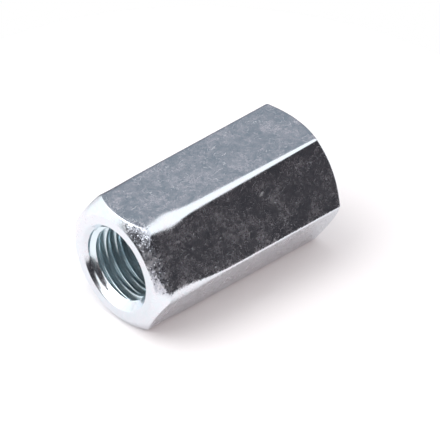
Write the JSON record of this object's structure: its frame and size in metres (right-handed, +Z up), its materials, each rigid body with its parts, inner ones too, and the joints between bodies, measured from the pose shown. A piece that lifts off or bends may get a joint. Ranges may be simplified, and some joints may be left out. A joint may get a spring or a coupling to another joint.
{
  "type": "coupling nut",
  "caption": "Long hexagonal nut, tapped right through, that joins threaded rods or bolts end to end.",
  "frame": {"origin": "under the middle of the nut, on the surface that it lies on with one flat down", "axes": "+X along the thread axis from the rounded end to the chamfered end, +Z up through the top flat"},
  "size_m": [0.0318, 0.0196, 0.017],
  "materials": {
    "zinc_plated_steel": "bright zinc plating, lightly mottled and scratched"
  },
  "bodies": {
    "root": {"coupling_nut": "zinc_plated_steel"}
  },
  "joints": []
}
